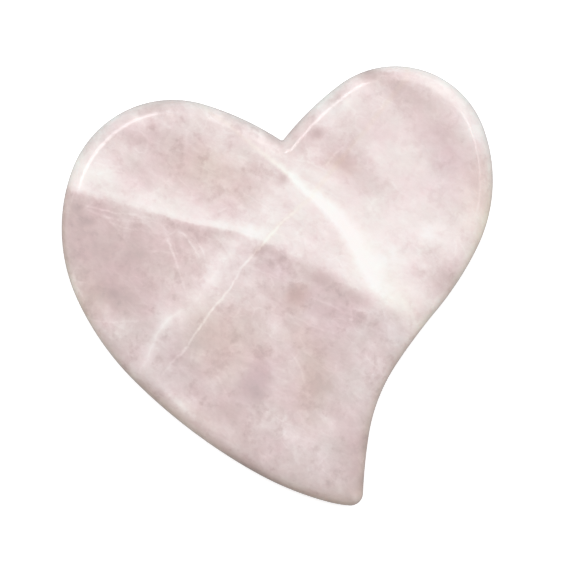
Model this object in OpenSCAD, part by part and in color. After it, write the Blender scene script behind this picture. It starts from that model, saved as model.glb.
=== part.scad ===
// Heart-shaped gua sha massage stone.
// One flat board cut from a single slab of quartz: two lobes of unequal height
// with a notch between them, a hollow right side and a hooked tail below.
// It lies flat on Z = 0, its thickness runs along Z and the lobes point to +Y.

/* [Board] */
// overall length from the top of the lobes to the tip of the tail, mm
board_length = 76; // [60:1:95]
// thickness between the two flat faces, mm
board_thickness = 6; // [4:0.5:8]
// angle between a flat face and the rounded rim where they meet, degrees
shoulder_angle = 20; // [12:1:40]

// The radii and sweeps below are those of the outline at a length of 76 mm.
// The whole outline is then scaled to board_length.

/* [Notch] */
// radius of the bottom of the notch, mm
notch_radius = 0.5; // [0.3:0.1:1]
// direction in which the right flank leaves the notch, degrees from +X
notch_heading = 51.8; // [48:0.2:56]

/* [Right lobe] */
// radius of the flank beside the notch, mm
right_flank_radius = 52; // [48:0.5:56]
// angle that the flank turns through, degrees
right_flank_sweep = 14.8; // [14:0.2:15.6]
// radius of the crown of the lobe, mm
right_crown_radius = 16.2; // [15.8:0.1:16.6]
// angle that the crown turns through, degrees
right_crown_sweep = 106.4; // [105.4:0.2:107.4]
// radius of the outer side of the lobe, mm
right_outer_radius = 26.4; // [25.8:0.2:27]
// angle that the outer side turns through, degrees
right_outer_sweep = 47; // [46:0.2:48]
// radius of the run-down from the lobe to the hollow side, mm
right_lower_radius = 56; // [53:0.5:59]
// angle that the run-down turns through, degrees
right_lower_sweep = 13.4; // [12.6:0.2:14.2]

/* [Hollow side] */
// radius of the upper stretch of the hollow side, mm
hollow_upper_radius = 105; // [98:1:112]
// angle that the upper stretch turns through, degrees
hollow_upper_sweep = 6.2; // [5.8:0.2:6.6]
// radius of the deepest stretch of the hollow side, mm
hollow_waist_radius = 31; // [29.5:0.5:32.5]
// angle that the deepest stretch turns through, degrees
hollow_waist_sweep = 24.8; // [23.8:0.2:25.8]
// radius of the lower stretch of the hollow side, mm
hollow_lower_radius = 90; // [84:1:96]
// angle that the lower stretch turns through, degrees
hollow_lower_sweep = 6.4; // [6:0.2:6.8]

/* [Tail] */
// radius of the tip of the tail, mm
tail_radius = 2.2; // [1.8:0.1:2.8]
// angle that the tip turns through, degrees
tail_sweep = 91.6; // [90.6:0.2:92.6]
// radius of the short curve under the tip, mm
heel_radius = 19.4; // [17:0.2:22]
// angle that the short curve under the tip turns through, degrees
heel_sweep = 10.8; // [10:0.2:11.6]

/* [Long side] */
// radius of the stretch next to the tail, mm
long_lower_radius = 54.5; // [52:0.5:57]
// angle that the stretch next to the tail turns through, degrees
long_lower_sweep = 14.6; // [13.6:0.2:15.6]
// radius of the middle stretch, mm
long_middle_radius = 97; // [94:1:100]
// angle that the middle stretch turns through, degrees
long_middle_sweep = 15.6; // [15:0.2:16.2]
// radius of the stretch next to the left lobe, mm
long_upper_radius = 48.5; // [46:0.5:51]
// angle that the stretch next to the left lobe turns through, degrees
long_upper_sweep = 20.4; // [19.4:0.2:21.4]

/* [Left lobe] */
// radius of the outer side of the lobe, mm
left_outer_radius = 29.2; // [28:0.2:30.4]
// angle that the outer side turns through, degrees
left_outer_sweep = 45; // [43:0.2:47]
// radius of the crown of the lobe, mm
left_crown_radius = 18.6; // [18:0.1:19.2]
// angle that the crown turns through, degrees
left_crown_sweep = 86.2; // [83:0.2:89]

/* [Hidden] */
$fn = 180;

quarter_turn = 90;
half_turn = 180;
full_turn = 360;
stone_color = [0.89, 0.82, 0.81];

// Outline as a chain of arcs that run into each other without a corner, clockwise
// from the notch: [radius, turn]. A right turn is negative and bulges outward,
// a left turn is positive and hollow.
drawn_arcs = [
    [right_flank_radius, -right_flank_sweep],
    [right_crown_radius, -right_crown_sweep],
    [right_outer_radius, -right_outer_sweep],
    [right_lower_radius, -right_lower_sweep],
    [hollow_upper_radius, hollow_upper_sweep],
    [hollow_waist_radius, hollow_waist_sweep],
    [hollow_lower_radius, hollow_lower_sweep],
    [tail_radius, -tail_sweep],
    [heel_radius, -heel_sweep],
    [long_lower_radius, -long_lower_sweep],
    [long_middle_radius, -long_middle_sweep],
    [long_upper_radius, -long_upper_sweep],
    [left_outer_radius, -left_outer_sweep],
    [left_crown_radius, -left_crown_sweep]
];

// Geometry of a chain of arcs whose first point is the origin.
function direction(angle) = [cos(angle), sin(angle)];
function left_of(heading) = direction(heading + quarter_turn);
function heading_at(arcs, i) = i == 0 ? notch_heading : heading_at(arcs, i - 1) + arcs[i - 1][1];
function start_at(arcs, i) = i == 0 ? [0, 0] : end_at(arcs, i - 1);
function offset_at(arcs, i) = sign(arcs[i][1]) * arcs[i][0] * left_of(heading_at(arcs, i));
function centre_at(arcs, i) = start_at(arcs, i) + offset_at(arcs, i);
function end_at(arcs, i) =
    centre_at(arcs, i) - sign(arcs[i][1]) * arcs[i][0] * left_of(heading_at(arcs, i + 1));
function wrapped(angle) = angle - full_turn * floor(angle / full_turn);

// The left flank closes the outline: it leaves the left crown without a corner
// and touches the small circle at the bottom of the notch.
notch_centre = notch_radius * left_of(notch_heading);
flank_heading = heading_at(drawn_arcs, len(drawn_arcs));
flank_start = end_at(drawn_arcs, len(drawn_arcs) - 1);
flank_inward = -left_of(flank_heading);
gap = flank_start - notch_centre;
left_flank_radius = (gap * gap - notch_radius ^ 2) / (2 * (notch_radius - gap * flank_inward));
toward_notch = notch_centre - flank_start - left_flank_radius * flank_inward;
touch_angle = atan2(toward_notch[1], toward_notch[0]);
left_flank_sweep = wrapped(flank_heading + quarter_turn - touch_angle);
notch_sweep = wrapped(notch_heading - flank_heading + left_flank_sweep);
outline = concat(drawn_arcs, [
    [left_flank_radius, -left_flank_sweep],
    [notch_radius, notch_sweep]
]);

// Signed curvature of an arc, positive where it bulges outward.
function curvature(i) = -sign(outline[i][1]) / outline[i][0];

// Each cut is a hair deeper or wider than drawn, in proportion to its curvature,
// so that neighbouring cuts cross cleanly instead of only touching.
joint_ease = 0.05;
function cut_radius(i) = outline[i][0] + joint_ease / outline[i][0];

// How far the outline reaches in a direction: the furthest bulging arc that faces it.
function faces(i, angle) =
    outline[i][1] < 0
    && wrapped(heading_at(outline, i) + quarter_turn - angle) <= -outline[i][1];
function extent(angle) = max([
    for (i = [0 : len(outline) - 1])
        if (faces(i, angle)) centre_at(outline, i) * direction(angle) + cut_radius(i)
]);
right_extent = extent(0);
top_extent = extent(quarter_turn);
left_extent = extent(half_turn);
bottom_extent = extent(half_turn + quarter_turn);
outline_middle = [right_extent - left_extent, top_extent - bottom_extent] / 2;
outline_scale = board_length / (top_extent + bottom_extent);
board_width = outline_scale * (right_extent + left_extent);

// Cross-section of the rim: one arc centred at mid-thickness.
rim_radius = board_thickness / 2 / cos(shoulder_angle);

// The blank is a little larger than the board and the cutters reach past it.
blank_margin = 2;
cutter_reach = 0.7 * board_length;
cutter_height = 2 * rim_radius + blank_margin;

// A cutter runs on past a joint wherever its neighbour bulges more sharply: there it
// removes only what the neighbour removes as well.
overlap_length = 4;
function neighbour(i) = (i + len(outline)) % len(outline);
function overlap_angle(i, other) =
    curvature(i) < curvature(neighbour(other))
        ? min(half_turn, overlap_length / outline[i][0] * half_turn / PI)
        : 0;

// Section of a cutter for a bulging rim of the given plan radius.
module bulging_section(radius) {
    intersection() {
        difference() {
            translate([radius - rim_radius, -cutter_height / 2])
                square([rim_radius + cutter_reach, cutter_height]);
            translate([radius - rim_radius, 0])
                circle(r = rim_radius);
        }
        translate([0, -cutter_height / 2])
            square([radius + cutter_reach, cutter_height]);
    }
}

// Section of a cutter for a hollow rim of the given plan radius.
module hollow_section(radius) {
    inner = max(0, radius - cutter_reach);
    difference() {
        translate([inner, -cutter_height / 2])
            square([radius + rim_radius - inner, cutter_height]);
        translate([radius + rim_radius, 0])
            circle(r = rim_radius);
    }
}

// Grinds the rim along one arc of the outline.
module rim_cutter(i) {
    radius = outline_scale * cut_radius(i);
    turn = outline[i][1];
    heading = heading_at(outline, i);
    before = overlap_angle(i, i - 1);
    after = overlap_angle(i, i + 1);
    from = turn < 0
        ? heading + turn + quarter_turn - after
        : heading - quarter_turn - before;
    translate(outline_scale * (centre_at(outline, i) - outline_middle))
        rotate([0, 0, from])
            rotate_extrude(angle = min(full_turn, abs(turn) + before + after))
                if (turn < 0)
                    bulging_section(radius);
                else
                    hollow_section(radius);
}

// The blank after the first cuts, made one after another.
module ground_blank(cuts) {
    if (cuts == 0)
        cube(
            [board_width + blank_margin, board_length + blank_margin, board_thickness],
            center = true
        );
    else
        difference() {
            ground_blank(cuts - 1);
            rim_cutter(cuts - 1);
        }
}

module stone() {
    color(stone_color)
        translate([0, 0, board_thickness / 2])
            ground_blank(len(outline));
}

stone();
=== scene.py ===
import math

import bpy
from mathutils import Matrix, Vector, kdtree


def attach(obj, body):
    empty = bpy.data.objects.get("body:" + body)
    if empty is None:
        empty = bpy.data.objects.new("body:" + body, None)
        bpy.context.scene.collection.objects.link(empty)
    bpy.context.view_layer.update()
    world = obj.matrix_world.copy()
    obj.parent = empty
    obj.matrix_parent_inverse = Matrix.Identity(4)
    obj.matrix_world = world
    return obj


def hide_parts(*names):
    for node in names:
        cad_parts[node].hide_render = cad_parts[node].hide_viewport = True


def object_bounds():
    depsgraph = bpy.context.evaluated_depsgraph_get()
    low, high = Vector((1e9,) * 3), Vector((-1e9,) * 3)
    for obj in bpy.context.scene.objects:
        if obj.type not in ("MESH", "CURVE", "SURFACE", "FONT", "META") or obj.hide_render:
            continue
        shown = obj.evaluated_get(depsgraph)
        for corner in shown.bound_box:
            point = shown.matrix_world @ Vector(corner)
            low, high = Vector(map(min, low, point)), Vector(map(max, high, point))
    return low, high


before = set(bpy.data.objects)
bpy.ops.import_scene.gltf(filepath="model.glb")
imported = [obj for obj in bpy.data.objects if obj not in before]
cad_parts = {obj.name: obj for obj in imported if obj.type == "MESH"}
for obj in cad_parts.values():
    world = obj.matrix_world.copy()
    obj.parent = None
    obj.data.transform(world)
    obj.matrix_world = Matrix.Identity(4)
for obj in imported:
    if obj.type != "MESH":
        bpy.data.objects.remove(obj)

# Heart-shaped gua sha stone. One piece, built from the frame's box and the outline's
# arcs, replaces the CAD solid and carries a procedural rose quartz.

cad_low, cad_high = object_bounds()
MM = 0.001

# ---------------------------------------------------------------- shape, in millimetres

# The outline as in the CAD: a chain of arcs, clockwise from the notch, each with its
# radius and turn in degrees. Negative turns bulge outward.
OUTLINE_ARCS = (
    (52.0, -14.8), (16.2, -106.4), (26.4, -47.0), (56.0, -13.4),
    (105.0, 6.2), (31.0, 24.8), (90.0, 6.4),
    (2.2, -91.6), (19.4, -10.8),
    (54.5, -14.6), (97.0, -15.6), (48.5, -20.4),
    (29.2, -45.0), (18.6, -86.2),
)
NOTCH_RADIUS = 0.5
NOTCH_HEADING = 51.8

# How closely the outline is sampled, as the longest step and the greatest turn in degrees:
# once for the mesh, and once to measure how far in from the outline a point lies.
MESH_STEPS = (0.34, 4.0)
MEASURE_STEPS = (0.03, 0.5)

# The rounded rim: its width, the power of its section's curve, and how its width wanders
# round the stone, as (waves in one round, share, phase).
RIM_WIDTH = 3.8
RIM_POWER = 2.2
RIM_WAVER = 0.05
RIM_WAVES = ((3, 1.0, -2.2), (7, 0.3, 2.1), (13, 0.2, 4.0))

# The mesh's rings: on the rim, closest together at the outline, and then across the face to
# the hub, each step longer than the one before.
RIM_RINGS = 20
RIM_RING_POWER = 1.8
RIM_LAST_INSET = 1.8
FACE_RINGS = 34
FACE_FIRST_STEP = 0.0045
GROWTH_RANGE = (1.0001, 2.0)
GROWTH_HALVINGS = 60
HUB = (0.5, 4.5)

# How the faces fall away towards the rim, and how far inside the CAD box the outline stays.
PILLOW_DROP = 0.03
PILLOW_REACH = 7.0
CLEARANCE = 0.02


def left_of(heading):
    """Unit vector 90 degrees to the left of a heading in degrees."""
    return Vector((-math.sin(math.radians(heading)), math.cos(math.radians(heading))))


def closed_arcs():
    """The drawn arcs, the left flank that closes them and the bottom of the notch."""
    point, heading = Vector((0.0, 0.0)), NOTCH_HEADING
    for radius, turn in OUTLINE_ARCS:
        side = math.copysign(radius, turn)
        point = point + side * left_of(heading) - side * left_of(heading + turn)
        heading += turn
    notch_centre = NOTCH_RADIUS * left_of(NOTCH_HEADING)
    inward = -left_of(heading)
    gap = point - notch_centre
    radius = (gap.dot(gap) - NOTCH_RADIUS**2) / (2 * (NOTCH_RADIUS - gap.dot(inward)))
    touch = notch_centre - point - radius * inward
    sweep = (heading + 90 - math.degrees(math.atan2(touch.y, touch.x))) % 360
    notch_turn = (NOTCH_HEADING - heading + sweep) % 360
    return OUTLINE_ARCS + ((radius, -sweep), (NOTCH_RADIUS, notch_turn))


def sampled_outline(spacing, most_turn):
    """Points round the outline with their outward normals, fitted to the CAD box."""
    points, normals = [], []
    point, heading = Vector((0.0, 0.0)), NOTCH_HEADING
    for radius, turn in closed_arcs():
        side = math.copysign(radius, turn)
        length = radius * abs(math.radians(turn))
        steps = max(2, math.ceil(length / spacing), math.ceil(abs(turn) / most_turn))
        centre = point + side * left_of(heading)
        for i in range(steps):
            normal = left_of(heading + turn * i / steps)
            points.append(centre - side * normal)
            normals.append(normal)
        heading += turn
        point = centre - side * left_of(heading)
    low = Vector((min(p.x for p in points), min(p.y for p in points)))
    high = Vector((max(p.x for p in points), max(p.y for p in points)))
    box_low, box_high = cad_low.xy / MM, cad_high.xy / MM
    scale = (box_high.y - box_low.y - 2 * CLEARANCE) / (high.y - low.y)
    middle, box_middle = (low + high) / 2, (box_low + box_high) / 2
    return [(p - middle) * scale + box_middle for p in points], normals


half_thickness = (cad_high.z - cad_low.z) / MM / 2
mid_height = (cad_high.z + cad_low.z) / MM / 2


def rim_width(i, count):
    """The rounded rim's width, which wanders a little as on a hand-finished stone."""
    angle = 2 * math.pi * i / count
    waver = sum(share * math.sin(waves * angle + phase) for waves, share, phase in RIM_WAVES)
    return RIM_WIDTH * (1 + RIM_WAVER * waver)


def height_at(inset, width):
    """Height above mid-thickness at a distance in from the outline."""
    outward = max(0.0, 1 - inset / width)
    rim = (1 - outward**RIM_POWER) ** (1 / RIM_POWER)
    return half_thickness * rim * (1 - PILLOW_DROP * math.exp(-inset / PILLOW_REACH))


def step_growth():
    """The ratio of each face step to the one before, so that together they reach the hub."""
    low, high = GROWTH_RANGE
    for _ in range(GROWTH_HALVINGS):
        ratio = (low + high) / 2
        if FACE_FIRST_STEP * (ratio**FACE_RINGS - 1) / (ratio - 1) < 1:
            low = ratio
        else:
            high = ratio
    return low


def rim_rings(outline, normals, widths):
    """Rings of points from the outline in over the rim."""
    rings = []
    for k in range(1, RIM_RINGS + 1):
        inset = RIM_LAST_INSET * (k / RIM_RINGS) ** RIM_RING_POWER
        ring = []
        for point, normal, width in zip(outline, normals, widths):
            inner = point - normal * inset
            ring.append((inner.x, inner.y, height_at(inset, width)))
        rings.append(ring)
    return rings


def face_rings(outline, normals, widths):
    """Rings of points from the last rim ring in towards the hub."""
    dense, _ = sampled_outline(*MEASURE_STEPS)
    nearest = kdtree.KDTree(len(dense))
    for i, point in enumerate(dense):
        nearest.insert((point.x, point.y, 0), i)
    nearest.balance()
    growth = step_growth()
    rings = []
    share = 0.0
    for k in range(FACE_RINGS - 1):
        share += FACE_FIRST_STEP * growth**k
        ring = []
        for point, normal, width in zip(outline, normals, widths):
            inner = (point - normal * RIM_LAST_INSET).lerp(Vector(HUB), share)
            inset = nearest.find((inner.x, inner.y, 0))[2]
            ring.append((inner.x, inner.y, height_at(inset, width)))
        rings.append(ring)
    return rings


def skin(base, rings, count, flipped):
    """Quads from the outline through the rings that start at base, and a fan at the hub."""
    starts = [0] + [base + ring * count for ring in range(rings)]
    hub = base + rings * count
    faces = []
    for outer, inner in zip(starts, starts[1:]):
        for i in range(count):
            j = (i + 1) % count
            faces.append((outer + i, inner + i, inner + j, outer + j))
    for i in range(count):
        faces.append((starts[-1] + i, hub, starts[-1] + (i + 1) % count))
    return [face[::-1] for face in faces] if flipped else faces


def stone_mesh():
    """The outline at mid-thickness, with the same rings and hub above and below it."""
    outline, normals = sampled_outline(*MESH_STEPS)
    count = len(outline)
    widths = [rim_width(i, count) for i in range(count)]
    rings = rim_rings(outline, normals, widths) + face_rings(outline, normals, widths)
    vertices = [(point.x, point.y, 0.0) for point in outline]
    faces = []
    for side in (1, -1):
        faces += skin(len(vertices), len(rings), count, side < 0)
        vertices += [(x, y, side * z) for ring in rings for x, y, z in ring]
        vertices.append((*HUB, side * half_thickness))
    mesh = bpy.data.meshes.new("heart_stone")
    mesh.from_pydata([(x * MM, y * MM, (z + mid_height) * MM) for x, y, z in vertices], [], faces)
    mesh.update()
    for polygon in mesh.polygons:
        polygon.use_smooth = True
    return mesh


stone = bpy.data.objects.new("heart_stone", stone_mesh())
bpy.context.scene.collection.objects.link(stone)

# ---------------------------------------------------------------- material

quartz = bpy.data.materials.new("rose_quartz")
quartz.use_nodes = True
tree = quartz.node_tree
tree.nodes.clear()


def add(kind, **settings):
    """A new node in the tree that is being built."""
    node = tree.nodes.new(kind)
    for key, value in settings.items():
        setattr(node, key, value)
    return node


def feed(socket, value):
    """Link the value to the socket if it is an output, and otherwise set it there."""
    if isinstance(value, bpy.types.NodeSocket):
        tree.links.new(value, socket)
    else:
        socket.default_value = value


def calc(operation, *values):
    """The result of a Math node."""
    node = add("ShaderNodeMath", operation=operation)
    for socket, value in zip(node.inputs, values):
        feed(socket, value)
    return node.outputs[0]


def vector_calc(operation, *values):
    """The result of a Vector Math node. A scale's factor is its fourth input."""
    node = add("ShaderNodeVectorMath", operation=operation)
    slots = (0, 3) if operation == "SCALE" else (0, 1)
    for slot, value in zip(slots, values):
        feed(node.inputs[slot], value)
    return node.outputs["Value" if operation == "DOT_PRODUCT" else "Vector"]


def ease(value, low, high, start=0.0, end=1.0):
    """Smooth step from start to end as value goes from low to high."""
    node = add("ShaderNodeMapRange", interpolation_type="SMOOTHSTEP")
    for socket, item in zip(node.inputs, (value, low, high, start, end)):
        feed(socket, item)
    return node.outputs[0]


def noise(vector, scale, detail=3.0, roughness=0.5, distortion=0.0):
    """A Noise Texture node with patches of about 1 / scale millimetres."""
    node = add("ShaderNodeTexNoise")
    feed(node.inputs["Vector"], vector)
    feed(node.inputs["Scale"], scale)
    feed(node.inputs["Detail"], detail)
    feed(node.inputs["Roughness"], roughness)
    feed(node.inputs["Distortion"], distortion)
    return node


def stretched(vector, angle, size):
    """The vector seen from a frame that is turned by the angle and scaled by the size."""
    node = add("ShaderNodeMapping", vector_type="TEXTURE")
    feed(node.inputs["Vector"], vector)
    feed(node.inputs["Rotation"], (0.0, 0.0, math.radians(angle)))
    feed(node.inputs["Scale"], (*size, 1.0))
    return node.outputs[0]


# The furthest that a curve may reach above or below 0.
MAX_BEND = 40.0


def curve(value, points):
    """A smooth function through the points, level beyond the first and the last."""
    node = add("ShaderNodeFloatCurve")
    mapping = node.mapping
    mapping.extend = "HORIZONTAL"
    mapping.clip_min_y, mapping.clip_max_y = -MAX_BEND, MAX_BEND
    line = mapping.curves[0]
    while len(line.points) < len(points):
        line.points.new(0.5, 0.0)
    for point, location in zip(line.points, points):
        point.location = location
    mapping.update()
    feed(node.inputs["Value"], value)
    return node.outputs[0]


# The cloud's shape, as a node group: an ellipse measured along its two half axes, each given
# by a direction over its length and by where the centre lies along that.
tree = bpy.data.node_groups.new("cloud", "ShaderNodeTree")
for name in ("Point", "First", "Second", "Centre"):
    tree.interface.new_socket(name, in_out="INPUT", socket_type="NodeSocketVector")
tree.interface.new_socket("Share", in_out="OUTPUT", socket_type="NodeSocketFloat")
given = add("NodeGroupInput").outputs
centre_parts = add("ShaderNodeSeparateXYZ")
feed(centre_parts.inputs[0], given["Centre"])
first_dot = vector_calc("DOT_PRODUCT", given["Point"], given["First"])
along_first = calc("SUBTRACT", first_dot, centre_parts.outputs["X"])
second_dot = vector_calc("DOT_PRODUCT", given["Point"], given["Second"])
along_second = calc("SUBTRACT", second_dot, centre_parts.outputs["Y"])
second_square = calc("MULTIPLY", along_second, along_second)
from_centre = calc("SQRT", calc("MULTIPLY_ADD", along_first, along_first, second_square))
feed(add("NodeGroupOutput").inputs[0], ease(from_centre, 1.0, 0.0))
cloud_tree, tree = tree, quartz.node_tree


def cloud(vector, centre, size, angle=0.0):
    """1 at the centre of an ellipse, falling smoothly to 0 at its edge."""
    heading = Vector((math.cos(math.radians(angle)), math.sin(math.radians(angle)), 0.0))
    first = heading / size[0]
    second = Vector((-heading.y, heading.x, 0.0)) / size[1]
    middle = Vector((*centre, 0.0))
    node = add("ShaderNodeGroup", node_tree=cloud_tree)
    values = (vector, first, second, (first.dot(middle), second.dot(middle), 0.0))
    for socket, value in zip(node.inputs, values):
        feed(socket, value)
    return node.outputs[0]


def layered(value, vector, rows):
    """The value with clouds added to it, given as (amount, centre, size, angle)."""
    for amount, centre, size, angle in rows:
        value = calc("MULTIPLY_ADD", cloud(vector, centre, size, angle), amount, value)
    return value


class Trace:
    """A line through the stone: how far along it a point is, and how far to its left."""

    def __init__(self, vector, points):
        start, end = Vector(points[0]), Vector(points[-1])
        self.start, self.run = start, end - start
        self.length = self.run.length
        ahead = (self.run.x / self.length**2, self.run.y / self.length**2, 0.0)
        leftward = (-self.run.y / self.length, self.run.x / self.length, 0.0)
        self.along = calc("ADD", vector_calc("DOT_PRODUCT", vector, ahead), self.share((0, 0)))
        bends = [(self.share(p), self.side(p)) for p in points]
        offset = calc("ADD", vector_calc("DOT_PRODUCT", vector, leftward), self.side((0, 0)))
        self.left = calc("SUBTRACT", offset, curve(self.along, bends))

    def share(self, point):
        """How far a fixed point is along the straight run, as a share of it."""
        return (Vector(point) - self.start).dot(self.run) / self.length**2

    def side(self, point):
        """How far a fixed point is to the left of the straight run."""
        gap = Vector(point) - self.start
        return (self.run.x * gap.y - self.run.y * gap.x) / self.length

    def profile(self, values):
        """A quantity that changes along the line, given as (share of the way, value)."""
        return curve(self.along, values)

    def line(self, width):
        """1 on the line, falling to 0 at the given half width."""
        return ease(calc("ABSOLUTE", self.left), 0.0, width, 1.0, 0.0)

    def band(self, left_width, right_width):
        """1 on the line, falling off exponentially to the left and to the right."""
        left = calc("DIVIDE", calc("MAXIMUM", self.left, 0.0), left_width)
        right = calc("DIVIDE", calc("MINIMUM", self.left, 0.0), right_width)
        return calc("EXPONENT", calc("SUBTRACT", right, left))


def total(*terms):
    """Sum of (amount, factor) pairs and single numbers or sockets."""
    result = None
    for term in terms:
        if isinstance(term, tuple):
            amount, factor = term
            result = calc("MULTIPLY_ADD", factor, amount, 0.0 if result is None else result)
        else:
            result = term if result is None else calc("ADD", result, term)
    return result


# Position in millimetres. What lies deeper in the stone shows further along the dip, so
# the markings run through the slab at a slant and differ on the two faces.
DIP = (0.55, -0.45)
coordinates = add("ShaderNodeTexCoord")
position = vector_calc("SCALE", coordinates.outputs["Object"], 1 / MM)
axes = add("ShaderNodeSeparateXYZ")
feed(axes.inputs[0], position)
depth = calc("SUBTRACT", cad_high.z / MM, axes.outputs["Z"])
slant = add("ShaderNodeCombineXYZ")
feed(slant.inputs["X"], calc("MULTIPLY_ADD", depth, DIP[0], axes.outputs["X"]))
feed(slant.inputs["Y"], calc("MULTIPLY_ADD", depth, DIP[1], axes.outputs["Y"]))
flat = slant.outputs[0]


def warped(vector, scale, reach, detail):
    """The vector moved about by noise, by up to about half the reach."""
    node = noise(position, scale, detail)
    shift = vector_calc("SUBTRACT", node.outputs["Color"], (0.5, 0.5, 0.5))
    return vector_calc("ADD", vector, vector_calc("MULTIPLY", shift, (reach, reach, 0.0)))


loose = warped(warped(flat, 0.13, 6.0, 3.0), 0.7, 2.2, 3.0)
tight = warped(warped(flat, 0.25, 1.0, 2.0), 1.4, 0.35, 2.0)


def apart(place):
    """The position moved far away, so that a noise there repeats no other one."""
    return vector_calc("ADD", position, place)


# Milkiness: 0 is the darkest mauve of the stone and 1 is pure white.
fleck_noise = noise(apart((60, 20, 5)), 0.42, 4.0, 0.62).outputs["Fac"]

# The milky sheet's lower edge, from the left rim to the hollow side.
sheet = Trace(tight, (
    (-38, 16.6), (-33, 15.7), (-30, 15.1), (-27, 14.5), (-24, 13.6), (-21, 12.6), (-18, 11.6),
    (-15, 10.9), (-12, 10.4), (-9, 9.9), (-6, 9.2), (-3, 8.1), (0, 6.8), (3, 5.3), (6, 4.0),
    (9, 2.4), (12, 0.6), (15, -1.1), (18, -2.9), (21, -5.0), (26, -8.8),
))
softness = sheet.profile((
    (0, 1.8), (0.15, 2.0), (0.27, 1.6), (0.38, 1.3), (0.48, 1.4), (0.6, 2.0), (0.8, 2.8), (1, 3),
))
below = ease(calc("DIVIDE", sheet.left, softness), 0.5, -0.5)
glow_course = ((0, 0.1), (0.15, 0.15), (0.3, 0.26), (0.5, 0.24), (0.58, 0.1), (1, 0.0))
sheet_glow = calc("MULTIPLY", sheet.band(1.7, 0.5), sheet.profile(glow_course))

# The drifts in the milky stone above that edge, and in the mauve stone below it. A few rows
# above it darken the upper rims, painted shade, and one lightens the left lobe's rim, partly a
# painted highlight.
above = layered(0.63, loose, (
    (-0.3, (-14, 20.8), (19, 9), -14),
    (-0.08, (-22, 23), (10, 6), 0),
    (0.12, (-20.5, 27.5), (5, 3), 0),
    (-0.22, (-24, 24.3), (4, 3), 0),
    (-0.08, (-8, 28.5), (5, 2), -25),
    (0.06, (-10, 16.5), (7, 3), -20),
    (-0.08, (20, 32), (6, 4), 0),
    (-0.08, (28.5, 24.5), (5, 6), 20),
    (-0.07, (24, 12.5), (5, 3), 0),
    (0.16, (20.5, 4), (5, 4), -30),
    (-0.1, (-16, 27.5), (12, 5), 0),
    (-0.13, (-4, 18), (7, 5), -20),
    (-0.15, (0.8, 18.3), (2.4, 1.9), 0),
    # Partly a painted highlight on the left lobe's upper rim.
    (0.15, (-33, 18.5), (8, 5), 10),
    (-0.3, (22, 33), (8, 5), -25),
    (-0.2, (28, 27), (7, 9), 30),
    (-0.22, (31, 20), (6, 9), 0),
    (-0.2, (35.5, 17), (4, 9), 5),
    (-0.26, (12.5, 21), (8, 5.5), -35),
    (-0.2, (-7, 12.8), (9, 3), -15),
    (-0.12, (18, 16.5), (6, 3), -35),
    (-0.18, (9, 26), (9, 4), 0),
    (-0.15, (6.8, 26), (2.6, 1.8), 0),
    (-0.08, (25, 6), (6, 2.5), -5),
    (-0.38, (29, 1.5), (6, 6), 30),
    (0.08, (22, 10), (12, 8), 0),
    (0.12, (27, 8.5), (6, 4.5), 0),
    (0.1, (30, 18), (6, 5), 0),
    (-0.08, (21, 1.5), (5, 4), -30),
    (-0.06, (15.5, 29.5), (7, 6), 40),
    (-0.05, (0.5, 12.5), (7, 4), -20),
    (-0.2, (4.5, 23), (7, 4), -25),
    (-0.3, (-4.5, 28), (9, 3), -33),
    (-0.25, (16.5, 36), (4, 2), 15),
    # These three darken the upper rims' flanks: painted shade.
    (-0.18, (-29, 26), (9, 4.5), 42),
    (-0.3, (-19, 31.0), (13, 2.6), 8),
    (-0.28, (12.5, 34.6), (7, 2.4), 38),
))
under = layered(0.35, loose, (
    (-0.17, (-30, 5), (16, 13), 0),
    (-0.08, (-33.5, 12.5), (6, 4), -10),
    (0.22, (-9.5, 2.5), (9.5, 8), -20),
    (0.15, (-17, -5), (9, 5), 15),
    (0.05, (-24, 11.5), (10, 2.5), -18),
    (0.24, (-6, 7), (7, 3.5), -15),
    (-0.1, (-1.5, 4), (3.5, 2.5), 0),
    (-0.04, (8, -1.5), (13, 5), -12),
    (-0.1, (6.5, -12), (5, 11), 0),
    (-0.16, (8, -17.5), (4, 5), 0),
    (-0.2, (-3.5, -17), (5, 7), 8),
    (-0.12, (-10, -10), (8, 5), -10),
    (0.18, (5.5, -26), (5, 8), -10),
    (0.08, (16, -13), (5, 9), -20),
    (0.12, (-15, -20.5), (5, 3), -40),
    (0.08, (-28, -7), (8, 4), -25),
    (0.1, (0, -8), (3.5, 8), 0),
    (0.12, (-4.5, -2), (6, 5), 0),
    (-0.12, (14.5, -27), (3.5, 7), -5),
    (-0.06, (12, -33), (6, 5), 0),
    (0.1, (0, -22), (4, 5), 0),
    (0.16, (25, -7), (5, 4), 0),
    (0.12, (17, -3.6), (6, 2.2), -35),
    (-0.12, (16, -8), (6, 3.5), -20),
    (-0.12, (12, -12), (6, 4), 0),
    (-0.16, (-16, -12), (4, 3), 0),
    (-0.1, (-8, -21.5), (5, 4), 0),
    (0.3, (-36.5, -2), (4, 8), 0),
    (-0.16, (-28, -2.5), (9, 6), 0),
    (-0.08, (0, -9), (6, 4), 0),
    (-0.07, (-8, -18.5), (9, 8), 0),
    (-0.1, (12.5, -27), (4, 6), 0),
    (-0.14, (13.5, -35), (5, 4), 0),
    (-0.06, (5, -29), (5, 3), 0),
    (-0.07, (9, -4), (5, 3), -20),
    (0.07, (16, -4.5), (4, 2), -30),
    (0.08, (14, -3.5), (7, 3), -35),
))
tone = add("ShaderNodeMix", data_type="FLOAT")
feed(tone.inputs[0], below)
feed(tone.inputs[2], above)
feed(tone.inputs[3], under)
milk = calc("ADD", tone.outputs[0], sheet_glow)

# A pale pool where the streak fades out.
milk = layered(milk, loose, ((0.12, (18.5, 0.5), (9, 6.5), -40),))

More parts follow.
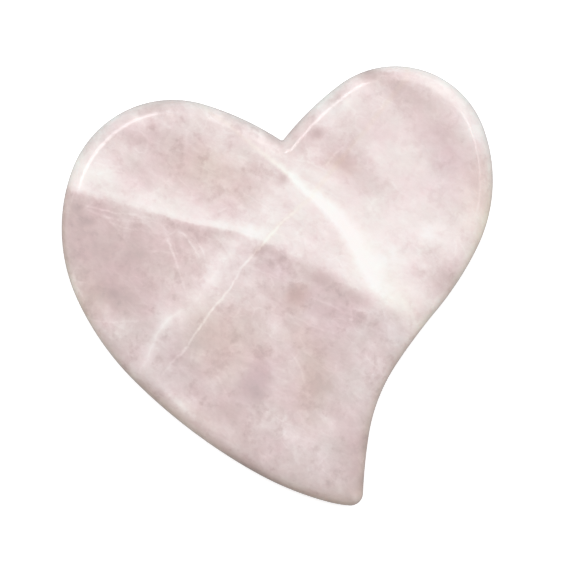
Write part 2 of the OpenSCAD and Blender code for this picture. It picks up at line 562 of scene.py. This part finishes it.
# The bright streak from the notch's left flank down to the hollow side.
streak = Trace(tight, (
    (-11, 29.3), (-8, 27.0), (-5, 24.5), (-2, 22.0), (0, 20.3), (2, 18.6), (5, 15.9), (8, 13.2),
    (9.6, 11.4), (11.2, 9.4), (12.7, 7.2), (14.1, 4.8), (15.5, 2.2), (17.4, -0.8), (20.5, -4.6),
))
streak_width = streak.profile(((0, 0.4), (0.3, 0.8), (0.5, 1.6), (0.7, 2.8), (0.85, 3.6), (1, 4)))
streak_fringe = streak.profile(((0, 0.5), (0.4, 0.6), (0.6, 1.2), (0.75, 2.6), (1, 3.5)))
streak_body = calc(
    "MULTIPLY",
    ease(calc("DIVIDE", streak.left, streak_fringe), -1.0, 0.7),
    ease(calc("DIVIDE", streak.left, streak_width), 0.1, 1.7, 1.0, 0.0),
)
streak_strength = streak.profile((
    (0, 0.0), (0.15, 0.08), (0.3, 0.24), (0.45, 0.32), (0.7, 0.26), (0.85, 0.12), (1, 0),
))
milk = calc("MULTIPLY_ADD", streak_body, streak_strength, milk)
glow_strength = streak.profile(((0, 0), (0.3, 0.05), (0.6, 0.2), (0.85, 0.22), (1, 0.05)))
milk = calc("MULTIPLY_ADD", streak.band(3.6, 1.6), glow_strength, milk)

# Small dark spots, pale wisps, a painted highlight by the lower-left rim, and the darker
# flanks beside the notch, which are painted shade.
milk = layered(milk, tight, (
    (-0.34, (-2.7, 6.1), (1.9, 1.3), 25),
    (-0.17, (0.8, 4.6), (1.8, 1.6), 0),
    (-0.3, (3.2, -1.6), (3.2, 2.8), 0),
    (-0.18, (7.2, 1.2), (3.2, 1.8), -20),
    (-0.12, (12, -1.6), (4.5, 1.8), -20),
    (-0.12, (15, -3.2), (3, 1.2), -25),
    (-0.24, (0.9, 18.2), (2.0, 1.5), 20),
    (-0.28, (6.8, 26), (2.2, 1.3), 0),
    (-0.16, (11.6, 21.2), (3.6, 2.2), -35),
    (-0.12, (14.6, 22.6), (3.6, 1.1), -48),
    (-0.1, (-17.5, 7.6), (1.2, 2.3), 20),
    (-0.13, (-15.3, 7.4), (1.2, 2.4), 28),
    (-0.1, (-13.7, 8.1), (0.9, 2.0), 36),
    (-0.1, (-17, 10.0), (4.5, 0.9), -12),
    (-0.2, (-32.6, 11), (2.2, 1.3), 0),
    (-0.14, (-34, 13.6), (1.5, 1.6), 0),
    (-0.12, (-24, 10.3), (2.4, 0.8), 0),
    (-0.14, (-24, 5), (3.2, 1.6), 10),
    (-0.12, (-28.3, -1.4), (1.8, 1.4), 0),
    (-0.12, (-18, -1.8), (1.8, 1.5), 0),
    # A painted highlight on the lower-left rim.
    (0.3, (-16.9, -20.1), (6.0, 1.4), -45),
    (0.16, (-11.6, 1.2), (8, 3.4), 56),
    (0.07, (-6, -2.5), (5, 3.5), 20),
    (-0.06, (-4, -17.3), (3, 4.6), 8),
    # Painted shade on the rim flanks beside the notch.
    (-0.2, (6, 29.2), (4.2, 1.3), 48),
    (-0.16, (4.4, 28), (1.6, 1.0), 48),
    (-0.16, (7.8, 31.2), (1.6, 0.9), 48),
    (-0.34, (16.6, 36), (4.2, 1.8), 25),
    # Painted shade in the notch.
    (-0.34, (0.3, 24.2), (4, 1.8), -32),
    (0.1, (-4.2, 0.4), (3, 2.2), 0),
))

# The healed crack, creamy where it starts and pinker below, in a faint haze.
crack = Trace(tight, (
    (5.5, 15.0), (2, 11.9), (-0.5, 9.3), (-3, 6.6), (-5.3, 4.0), (-7, 1.4), (-8.8, -1.2),
    (-11.5, -4.6), (-14, -8.2), (-16.2, -11.4), (-18.4, -13.8), (-20, -16.4),
))
crack_strength = crack.profile((
    (0, 0), (0.05, 0), (0.12, 0.13), (0.3, 0.17), (0.5, 0.2), (0.75, 0.27), (0.95, 0.1), (1, 0),
))
crack_line = calc("MULTIPLY", crack.line(0.38), ease(fleck_noise, 0.35, 0.6, 1.1, 0.6))
milk = calc("MULTIPLY_ADD", crack_line, crack_strength, milk)
haze_strength = crack.profile(((0, 0), (0.1, 0.05), (0.5, 0.08), (0.85, 0.05), (1, 0)))
milk = calc("MULTIPLY_ADD", crack.band(1.0, 0.8), haze_strength, milk)
cream = calc("MULTIPLY", crack.line(0.8), crack.profile(((0, 1), (0.3, 1), (0.4, 0), (1, 0))))

# The pale vein beside it.
vein = Trace(tight, (
    (-15.5, -4.2), (-17.4, -4.9), (-19.7, -7.0), (-21.4, -10.4), (-22.2, -12.4), (-24, -15.2),
))
vein_strength = vein.profile(((0, 0.12), (0.25, 0.32), (0.8, 0.28), (1, 0.14)))
milk = calc("MULTIPLY_ADD", vein.band(1.1, 1.2), vein_strength, milk)

# Hair-thin pale lines: how strong each is, and where it runs.
THREADS = (
    (0.18, ((-35, 14.4), (-30, 13.0), (-25, 12.2), (-20, 11.2))),
    (0.15, ((-33, 13.2), (-28, 11.6), (-22, 10.8))),
    (0.14, ((-29, 11.4), (-24, 9.6), (-19.5, 9.4))),
    (0.12, ((-34, 12.6), (-31, 14.6))),
    (0.12, ((-30.5, 12.8), (-27, 9.4), (-25, 5.6))),
    (0.1, ((-23, 6.0), (-18.5, 5.6), (-13, 5.2))),
    (0.22, ((-19.6, 10), (-17.9, 5.5), (-16.6, 1.5), (-15.3, -2.2))),
    (0.22, ((-16.6, 9.2), (-14.6, 6.9), (-13.0, 4.4))),
    (0.2, ((-14.6, 9.0), (-13.2, 6.8), (-12.0, 5.0))),
    (0.14, ((-33.5, -6.5), (-28, -6.2), (-22.5, -5.9))),
    (0.1, ((2, -11), (4.5, -16), (5.2, -21))),
    (0.1, ((-12, -14), (-9.5, -17), (-8, -21))),
    (0.12, ((5.5, -1.8), (11.5, -4.4), (18, -7.4))),
    (0.1, ((9, -4.6), (15, -6.8), (21, -9.4))),
    (0.08, ((-12.2, 9.4), (-8.6, 6.0), (-7.6, 3.0))),
    (0.2, ((7.8, 20.0), (10, 22.5), (12.4, 25))),
    (0.12, ((19.5, 18), (21, 16.4), (22.8, 14.8))),
    (0.1, ((-2.5, -3), (3, -5.6), (11, -8.6))),
    (0.08, ((-1.5, -4.4), (4, -7), (9, -9.6))),
    (0.08, ((10, 29.5), (12.5, 28), (15.5, 25))),
)
THREAD_WIDTH = 0.36
threads = 0.0
for amount, points in THREADS:
    thread = Trace(tight, points)
    strength = thread.profile(((0, 0), (0.15, amount), (0.7, amount), (1, 0)))
    threads = calc("MULTIPLY_ADD", thread.line(THREAD_WIDTH), strength, threads)
milk = calc("MULTIPLY_ADD", ease(fleck_noise, 0.3, 0.6, 1.0, 0.35), threads, milk)

# Mottling, from broad drifts to grit, with small crystals, dark flecks and a pale net. It is
# calmer where the stone is milky and in the right lobe.
GRAIN, DRIFT, GRIT, FLECKS, CRYSTALS, NET = 0.72, 0.12, 0.14, -0.13, 0.1, 0.07
EVENED = 0.03
streams = stretched(position, -30.0, (1.6, 0.9))


def about_zero(share):
    """A value from 0 to 1 as one from -0.5 to 0.5."""
    return calc("SUBTRACT", share, 0.5)


grainy = noise(streams, 0.16, 6.0, 0.75, 0.25).outputs["Fac"]
mottle = total((GRAIN, about_zero(grainy)))
broad = noise(position, 0.07, 3.0, 0.5).outputs["Fac"]
mottle = total(mottle, (DRIFT, about_zero(broad)))
grit = noise(apart((3, 44, 17)), 1.3, 3.0, 0.7).outputs["Fac"]
mottle = total(mottle, (GRIT, about_zero(grit)))
mottle = total(mottle, EVENED, (FLECKS, ease(fleck_noise, 0.52, 0.68)))
crystals = add("ShaderNodeTexVoronoi", feature="SMOOTH_F1")
feed(crystals.inputs["Vector"], warped(position, 0.9, 1.5, 3.0))
feed(crystals.inputs["Scale"], 0.5)
feed(crystals.inputs["Smoothness"], 0.35)
crystal_tone = add("ShaderNodeSeparateColor")
feed(crystal_tone.inputs[0], crystals.outputs["Color"])
mottle = total(mottle, (CRYSTALS, about_zero(crystal_tone.outputs[0])))
net = add("ShaderNodeTexVoronoi", feature="DISTANCE_TO_EDGE")
feed(net.inputs["Vector"], warped(streams, 0.5, 2.0, 4.0))
feed(net.inputs["Scale"], 0.24)
net_line = ease(net.outputs["Distance"], 0.0, 0.055, 1.0, 0.0)
net_seen = ease(noise(apart((9, 90, 2)), 0.16, 2.0).outputs["Fac"], 0.42, 0.66)
mottle = total(mottle, (NET, calc("MULTIPLY", net_line, net_seen)))
mottle_gain = curve(milk, ((0, 0.6), (0.2, 0.82), (0.4, 1.22), (0.7, 0.75), (1, 0.35)))
calm = calc("MULTIPLY_ADD", cloud(position, (21, 23), (26, 22)), -0.36, 1.0)
milk = calc("MULTIPLY_ADD", mottle, calc("MULTIPLY", mottle_gain, calm), milk)

# 1 round the middle of the rim, 0 on the two faces, as the height above or below
# mid-thickness goes down. Painted shade and light: the rim is darker than the faces round the
# tail and along the long side, where less light falls, and mostly a little paler elsewhere.
EDGE_FADE = (2.9, 1.2)
edge = ease(calc("ABSOLUTE", total(axes.outputs["Z"], -mid_height)), *EDGE_FADE)
painted_rim_shade_and_light = layered(0.0, position, (
    (-0.34, (-2, -34), (17, 9), -25),
    (-0.2, (15, -30), (4, 9), 0),
    (0.2, (-37, -3), (5, 8), 0),
    (-0.05, (-29, 27), (10, 8), 42),
    (0.05, (-6, 29), (9, 5), -25),
    (0.12, (8, 32), (7, 5), 45),
    (0.08, (26, 36), (14, 8), -20),
))
# Painted shade and light on the rim, darker or paler by where light falls.
milk = calc("MULTIPLY_ADD", painted_rim_shade_and_light, edge, milk)

# The stone's shades as display values, from the least milky to the most.
SHADES = (
    (194, 174, 173), (209, 189, 187), (222, 205, 203), (234, 221, 219), (246, 239, 236),
    (255, 254, 252),
)


def linear(value):
    """The linear light of a display value from 0 to 255."""
    return ((value / 255 + 0.055) / 1.055) ** 2.4


ramp = add("ShaderNodeValToRGB")
feed(ramp.inputs[0], milk)
while len(ramp.color_ramp.elements) < len(SHADES):
    ramp.color_ramp.elements.new(0.5)
for i, shade in enumerate(SHADES):
    element = ramp.color_ramp.elements[i]
    element.position = i / (len(SHADES) - 1)
    element.color = (*(linear(v) for v in shade), 1.0)

# The rim is tinted grey round the lobes, a painted sheen, and brown below them, a painted
# shade, between these two places in Y.
LOBES, BODY = 26.0, 8.0
HUE_DRIFT = 3.0
hue_noise = about_zero(noise(apart((30, 5, 80)), 0.2, 3.0, 0.6).outputs["Fac"])

# Warmth: above 0 the stone is browner, below 0 more purple.
WARMTH = -0.3
# Painted shade: the rim browner on its lower side.
painted_rim_shade_tint = calc("MULTIPLY", edge, ease(axes.outputs["Y"], LOBES, BODY, 0.6, 3.0))
warmth = total(WARMTH, painted_rim_shade_tint, (1.2, cream), (1.2, streak_body), (HUE_DRIFT, hue_noise))
warmth = layered(warmth, loose, (
    (1.9, (-11, 20), (13, 6), -20),
    (1.4, (11, 20.5), (4, 3), 0),
    (1.6, (3.4, -2), (3.5, 3.5), 0),
    (1.8, (-10, -9), (12, 9), -30),
    (1.3, (-33, -3), (6, 9), 0),
    (1.0, (4, -8), (4, 4), 0),
    (1.8, (6.5, -15), (4.5, 11), 0),
    (1.5, (9, -38), (10, 6), -10),
    (2.2, (36, 12), (7, 14), 0),
    (1.0, (-17, -22), (14, 4), -38),
    (-1.3, (-4, -17), (5.5, 7), 0),
    (-0.7, (10, -5), (13, 7), -20),
    (-0.7, (29, 21), (6, 10), 15),
    (-0.7, (0, 4), (5, 5), 0),
))

# Greyness: above 0 the pink is washed out.
GREYNESS = -0.45
# Painted sheen: the rim greyer round the lobes.
painted_rim_sheen_tint = calc("MULTIPLY", edge, ease(axes.outputs["Y"], BODY, LOBES, 0.4, 1.6))
greyness = total(GREYNESS, (HUE_DRIFT, hue_noise), painted_rim_sheen_tint)
# The rows along the upper rims wash the pink out where the highlights lie: painted sheen.
greyness = layered(greyness, loose, (
    (0.6, (-30, 27), (11, 5), 42),
    (0.9, (-17, 31), (14, 4), 0),
    (0.9, (-4, 28), (10, 4), -33),
    (0.9, (9, 32), (11, 4), 40),
    (0.3, (26, 36), (12, 4), -10),
    (-0.5, (-17, 17), (12, 6), -15),
    (0.9, (21, -7), (6, 6), 0),
    (0.5, (-8, 4), (8, 5), 0),
    (0.8, (-29, 28), (8, 4), 42),
    (-0.4, (9, 20), (8, 5), -30),
    (-0.7, (13, 7), (5, 10), 35),
    (-0.8, (3.4, -2), (3, 3), 0),
    (0.6, (33, 29), (4, 8), 25),
    (0.9, (-19, -12), (14, 12), -40),
    (0.65, (14, -17), (8, 17), -15),
    (0.8, (8, -31), (9, 8), 0),
    (-0.4, (-16, 5), (9, 8), 0),
    (-0.5, (1, -3), (6, 4), 0),
    (0.6, (0, -26), (8, 7), 0),
))

# What one step of warmth and one of greyness add to the red, green and blue.
WARM_TINT = (0.004, 0.003, -0.022)
GREY_TINT = (-0.03, 0.025, 0.025)
tint = add("ShaderNodeCombineXYZ")
for socket, warm_step, grey_step in zip(tint.inputs, WARM_TINT, GREY_TINT):
    feed(socket, total(1.0, (warm_step, warmth), (grey_step, greyness)))

# The polish is not quite even, and light enters the stone a little way.
polish = add("ShaderNodeBump")
feed(polish.inputs["Strength"], 0.35)
feed(polish.inputs["Distance"], 0.02 * MM)
feed(polish.inputs["Height"], noise(position, 0.9, 3.0).outputs["Fac"])
SURFACE = {
    "Base Color": vector_calc("MULTIPLY", ramp.outputs["Color"], tint.outputs[0]),
    "Normal": polish.outputs["Normal"],
    "Roughness": ease(fleck_noise, 0.3, 0.7, 0.1, 0.16),
    "IOR": 1.54,
    "Subsurface Weight": 0.35,
    "Subsurface Radius": (1.0, 0.85, 0.8),
    "Subsurface Scale": 1.2 * MM,
}
shader = add("ShaderNodeBsdfPrincipled")
for name, value in SURFACE.items():
    feed(shader.inputs[name], value)
feed(add("ShaderNodeOutputMaterial").inputs["Surface"], shader.outputs[0])
stone.data.materials.append(quartz)

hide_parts("stone")
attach(stone, "root")

# ---------------------------------------------------------------- stage, light, camera

scene = bpy.context.scene
scene.view_settings.view_transform = "Standard"

# The floor runs up into a wall: its rings, as (radius, height) in metres.
FLOOR_RINGS = ((2.0, cad_low.z), (2.7, 0.12), (3.1, 0.45), (3.2, 2.6))
FLOOR_SIDES = 96
PAPER = {
    "Base Color": (0.9, 0.9, 0.9, 1.0),
    "Roughness": 0.9,
    "Specular IOR Level": 0.1,
    "Emission Color": (1.0, 1.0, 1.0, 1.0),
    "Emission Strength": 0.5,
}


def floor_mesh():
    """A round floor whose edge curves up into a wall."""
    points = [(0.0, 0.0, cad_low.z)]
    turns = [2 * math.pi * i / FLOOR_SIDES for i in range(FLOOR_SIDES)]
    for radius, height in FLOOR_RINGS:
        points += [(radius * math.cos(a), radius * math.sin(a), height) for a in turns]
    faces = [(0, 1 + i, 1 + (i + 1) % FLOOR_SIDES) for i in range(FLOOR_SIDES)]
    for ring in range(len(FLOOR_RINGS) - 1):
        inner, outer = 1 + ring * FLOOR_SIDES, 1 + (ring + 1) * FLOOR_SIDES
        for i in range(FLOOR_SIDES):
            j = (i + 1) % FLOOR_SIDES
            faces.append((inner + i, outer + i, outer + j, inner + j))
    mesh = bpy.data.meshes.new("floor")
    mesh.from_pydata(points, [], faces)
    for polygon in mesh.polygons:
        polygon.use_smooth = True
    return mesh


floor = bpy.data.objects.new("floor", floor_mesh())
scene.collection.objects.link(floor)
floor.visible_diffuse = False
floor.visible_glossy = False
floor.visible_shadow = False
paper = bpy.data.materials.new("paper")
paper.use_nodes = True
for name, value in PAPER.items():
    feed(paper.node_tree.nodes["Principled BSDF"].inputs[name], value)
floor.data.materials.append(paper)

# The sky is brighter towards one side, and darkened by a card low down beyond the stone's
# lower edge: the card's direction, where it begins and is full, and what it leaves.
WORLD_LEVEL = 0.53
WORLD_TILT = (-0.06, 0.1, 0.24)
CARD_TOWARD = (-0.37, -0.92, -0.1)
CARD_REACH = (0.65, 0.93)
CARD_LEVEL = 0.3
world = bpy.data.worlds.new("studio")
scene.world = world
world.use_nodes = True
tree = world.node_tree
toward = add("ShaderNodeTexCoord").outputs["Generated"]
level = calc("ADD", vector_calc("DOT_PRODUCT", toward, WORLD_TILT), WORLD_LEVEL)
card = ease(vector_calc("DOT_PRODUCT", toward, CARD_TOWARD), *CARD_REACH, 1.0, CARD_LEVEL)
background = tree.nodes["Background"]
feed(background.inputs["Color"], (1.0, 1.0, 1.0, 1.0))
feed(background.inputs["Strength"], calc("MULTIPLY", level, card))

# The lights: name, azimuth and elevation in degrees, distance and size in metres, and how
# bright each looks.
SOFTBOXES = (
    ("strip", 132, 55, 1.2, (0.8, 0.26), 4.0),
    ("side", 56, 34, 1.5, (1.0, 1.6), 1.3),
    ("sliver", 15, 54, 1.2, (0.6, 0.12), 2.2),
    ("low_right", -42, 12, 1.5, (1.2, 1.0), 0.55),
    ("low_left", 188, 12, 1.5, (1.0, 0.8), 0.75),
)


def softbox(name, azimuth, elevation, distance, size, radiance):
    """An area light that faces the stone from a direction, given by what it looks like."""
    data = bpy.data.lights.new(name, "AREA")
    data.shape = "RECTANGLE"
    data.size, data.size_y = size
    data.energy = radiance * math.pi * size[0] * size[1]
    lamp = bpy.data.objects.new(name, data)
    scene.collection.objects.link(lamp)
    turn, rise = math.radians(azimuth), math.radians(elevation)
    level_reach = math.cos(rise)
    away = Vector((math.cos(turn) * level_reach, math.sin(turn) * level_reach, math.sin(rise)))
    lamp.location = away * distance
    lamp.rotation_mode = "QUATERNION"
    lamp.rotation_quaternion = (-away).to_track_quat("-Z", "Y")


for row in SOFTBOXES:
    softbox(*row)

# The camera looks straight down on AIM and takes in FRAME_SPAN across.
LENS, SENSOR = 150.0, 36.0
FRAME_SPAN = 98.4 * MM
AIM = Vector((1.26 * MM, 0.24 * MM, mid_height * MM))
camera_data = bpy.data.cameras.new("camera")
camera_data.lens, camera_data.sensor_width = LENS, SENSOR
camera = bpy.data.objects.new("camera", camera_data)
scene.collection.objects.link(camera)
camera.location = AIM + Vector((0, 0, FRAME_SPAN * LENS / SENSOR))
scene.camera = camera
